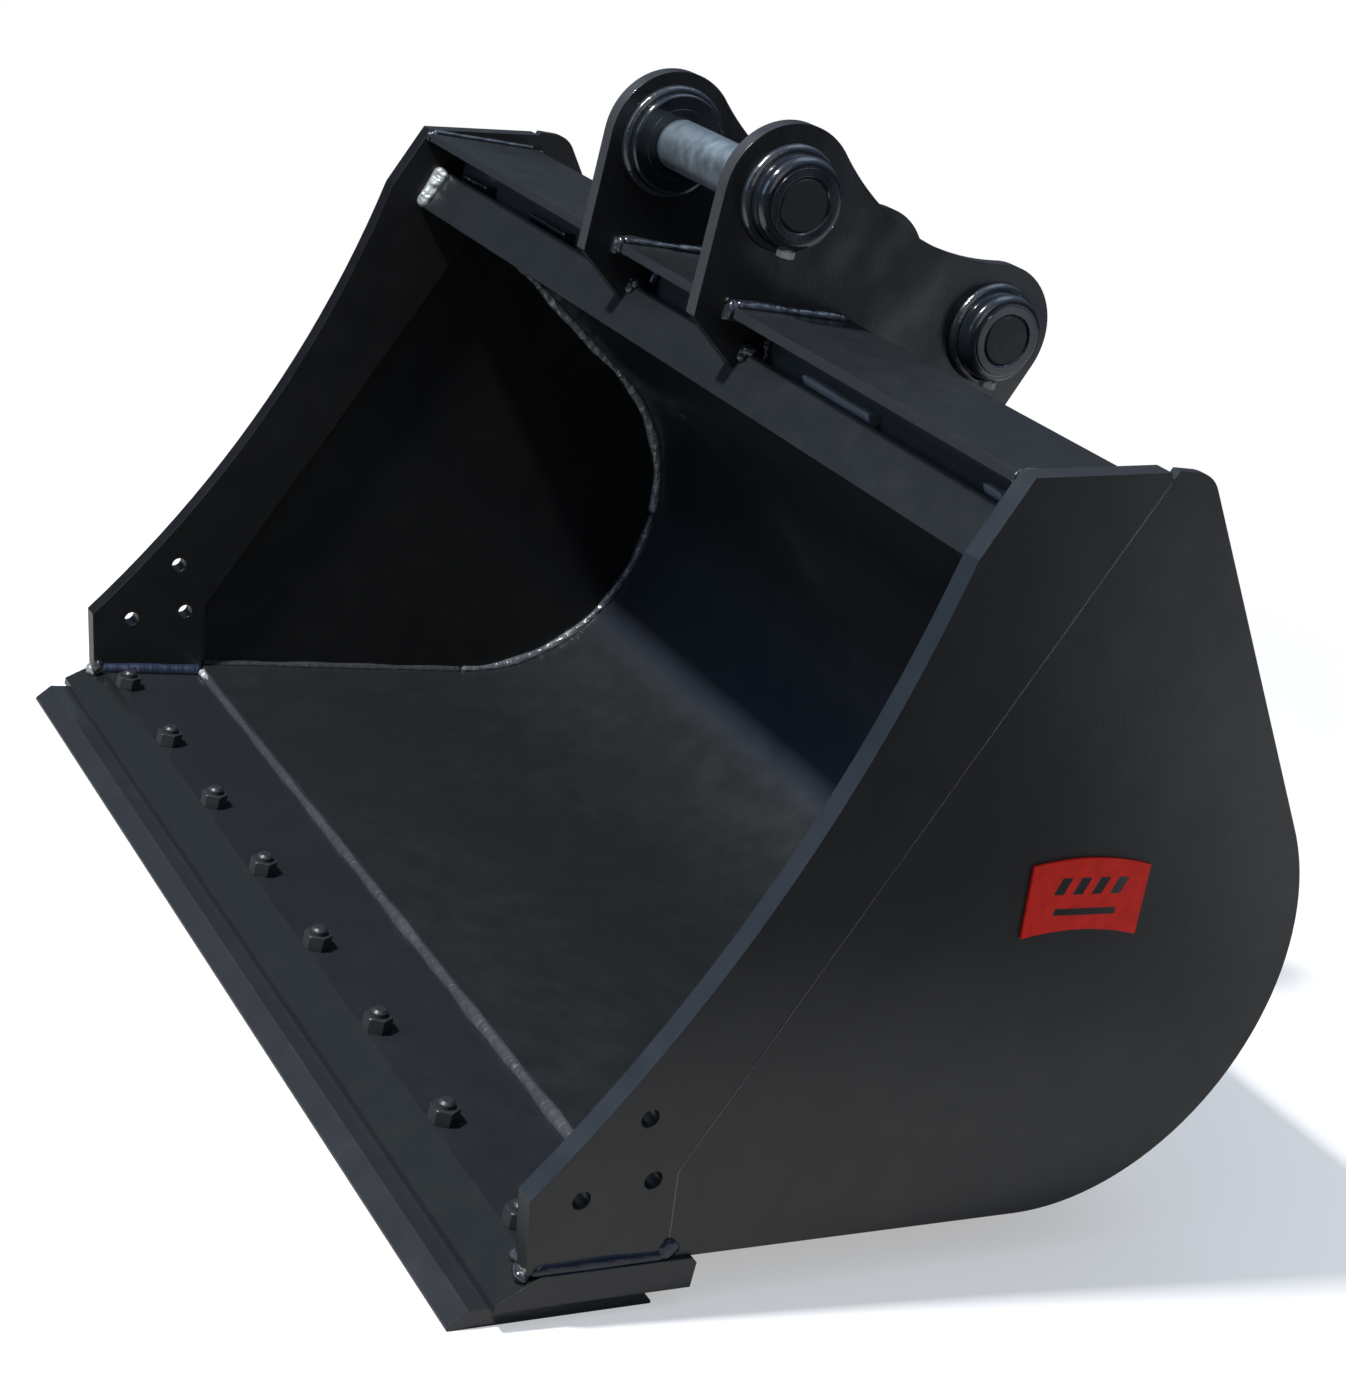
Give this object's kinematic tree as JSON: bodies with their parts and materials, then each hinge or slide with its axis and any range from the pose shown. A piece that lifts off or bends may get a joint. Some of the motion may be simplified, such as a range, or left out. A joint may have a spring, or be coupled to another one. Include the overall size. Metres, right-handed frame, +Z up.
{
  "type": "excavator bucket",
  "caption": "Wide excavator clean-up bucket with a rolled shell, bolted cutting edge, folded top beam and two hinge ears carrying pins.",
  "frame": {"origin": "under the middle of the bucket, on the underside of the bolted cutting edge", "axes": "+X to the right-hand side plate along the width, -Y out of the mouth, +Y to the rolled back, +Z up towards the hinge ears"},
  "size_m": [1.51, 1.0069, 1.151],
  "materials": {
    "shell_paint": "satin",
    "plate_paint": "satin",
    "ear_paint": "satin",
    "edge_paint": "satin",
    "hub_paint": "satin",
    "weld_paint": "satin",
    "bolt_paint": "satin",
    "pin_steel": "brushed",
    "lock_steel": "satin",
    "badge_red": "satin"
  },
  "bodies": {
    "bucket": {"shell_wrap": "shell_paint", "base_edge": "edge_paint", "cutting_edge": "edge_paint", "edge_bolts": "bolt_paint", "edge_nuts": "bolt_paint", "side_panel_right": "shell_paint", "side_panel_left": "shell_paint", "side_strip_right": "plate_paint", "side_strip_left": "plate_paint", "lip_bar": "plate_paint", "beam_web": "plate_paint", "beam_cover": "plate_paint", "ear_right": "ear_paint", "ear_left": "ear_paint", "hub_front_right": "hub_paint", "hub_front_left": "hub_paint", "hub_rear_right": "hub_paint", "hub_rear_left": "hub_paint", "bush_front_right": "hub_paint", "bush_front_left": "hub_paint", "bush_rear_right": "hub_paint", "bush_rear_left": "hub_paint", "hub_welds": "weld_paint", "pin_lock_bolts": "lock_steel", "badge": "badge_red", "badge_rivets": "badge_red"},
    "front_pin_body": {"front_pin": "pin_steel"},
    "rear_pin_body": {"rear_pin": "pin_steel"}
  },
  "joints": [
    {"name": "front_pin_slide", "type": "slide", "parent": "bucket", "child": "front_pin_body", "axis": [1, 0, 0], "range_m": [0, 0.4]},
    {"name": "rear_pin_slide", "type": "slide", "parent": "bucket", "child": "rear_pin_body", "axis": [1, 0, 0], "range_m": [0, 0.4]}
  ]
}
